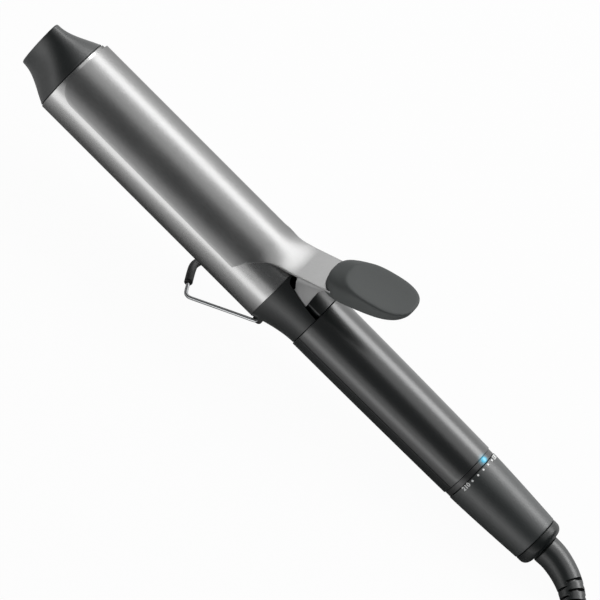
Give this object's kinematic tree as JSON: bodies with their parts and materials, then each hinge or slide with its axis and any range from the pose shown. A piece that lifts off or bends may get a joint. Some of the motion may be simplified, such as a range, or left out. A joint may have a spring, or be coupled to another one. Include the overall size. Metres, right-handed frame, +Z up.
{
  "type": "curling iron",
  "caption": "Curling iron with a heated round barrel, sprung clamp with thumb pad, folding wire stand, turning heat dial and swivel cord.",
  "frame": {"origin": "on the table, under the middle of the iron without its cord, as it rests on its stand and end cap", "axes": "+Z up, +X from the tip towards the cord end, +Y across the iron; the iron is tilted tip up by about 7 degrees"},
  "size_m": [0.4597, 0.082, 0.0772],
  "materials": {
    "barrel_coating": "satin metallic grey coating",
    "clamp_coating": "satin metallic grey coating",
    "tip_plastic": "satin black heat-resistant plastic",
    "collar_plastic": "satin black heat-resistant plastic",
    "inner_plastic": "plain moulded plastic",
    "pad_plastic": "matte dark grey plastic",
    "handle_gloss": "semi-gloss black lacquer",
    "handle_lower": "satin black plastic",
    "dial_soft": "soft-touch coating",
    "ring_black": "gloss black plastic",
    "cap_gloss": "gloss black plastic",
    "lens": "clear blue",
    "led_chip": "clear epoxy",
    "heat_aluminium": "extruded",
    "heater_film": "amber insulating film",
    "sensor_glass": "glazed",
    "steel": "bright",
    "spring_steel": "oiled",
    "stand_chrome": "nickel plated",
    "sleeve_silicone": "matte",
    "board_green": "solder mask",
    "parts_mixed": "moulded components",
    "lead_insulation": "silicone insulation",
    "contact_brass": "plated",
    "brush_carbon": "carbon",
    "friction_rubber": "matte",
    "boot_rubber": "satin",
    "cord_rubber": "satin",
    "tie_strap": "woven",
    "plug_plastic": "fine spark texture",
    "plug_metal": "nickel plated"
  },
  "bodies": {
    "iron": {"barrel_tube": "barrel_coating", "tip_cap": "tip_plastic", "tip_plug": "inner_plastic", "spreader_upper": "heat_aluminium", "spreader_lower": "heat_aluminium", "ptc_heater": "heater_film", "spreader_springs": "spring_steel", "thermistor": "sensor_glass", "thermal_fuse": "steel", "barrel_mount": "inner_plastic", "collar": "collar_plastic", "hinge_block": "collar_plastic", "hinge_pin": "steel", "clamp_spring": "spring_steel", "handle_upper_shell": "handle_gloss", "handle_lower_shell": "handle_lower", "handle_screws": "steel", "circuit_board": "board_green", "board_parts": "parts_mixed", "heater_leads": "lead_insulation", "supply_leads": "lead_insulation", "indicator_ring": "ring_black", "led_lens": "lens", "led": "led_chip", "tail_tube": "inner_plastic", "friction_ring": "friction_rubber", "selector_board": "board_green", "end_cap": "cap_gloss", "brush_holder": "inner_plastic", "contact_brushes": "brush_carbon"},
    "clamp": {"clamp_plate": "clamp_coating", "clamp_bracket": "clamp_coating", "thumb_pad": "pad_plastic", "pad_rivets": "steel"},
    "stand": {"stand_wire": "stand_chrome", "stand_sleeve": "sleeve_silicone"},
    "dial": {"dial_sleeve": "dial_soft", "dial_contacts": "contact_brass"},
    "cord": {"swivel_spool": "inner_plastic", "slip_rings": "contact_brass", "strain_relief": "boot_rubber", "cord_tube": "cord_rubber", "cord_coil": "cord_rubber", "cord_tie": "tie_strap", "cord_lead": "cord_rubber", "plug_body": "plug_plastic", "plug_pins": "plug_metal"}
  },
  "joints": [
    {"name": "clamp_hinge", "type": "hinge", "parent": "iron", "child": "clamp", "pos_m": [0.00408, 0, 0.03589], "axis": [0, 1, 0], "range_deg": [0, 30], "stiffness_Nm_per_rad": 0.4, "springref_deg": -34.38, "deforming": ["clamp_spring"]},
    {"name": "stand_hinge", "type": "hinge", "parent": "iron", "child": "stand", "pos_m": [-0.00432, 0, 0.01856], "axis": [0, 1, 0], "range_deg": [0, 16]},
    {"name": "dial_turn", "type": "hinge", "parent": "iron", "child": "dial", "pos_m": [0.11176, 0, 0.0166], "axis": [0.9931, 0, -0.1175], "range_deg": [-62, 31]},
    {"name": "cord_swivel", "type": "hinge", "parent": "iron", "child": "cord", "pos_m": [0.15744, 0, 0.0112], "axis": [0.9931, 0, -0.1175], "continuous": true}
  ]
}
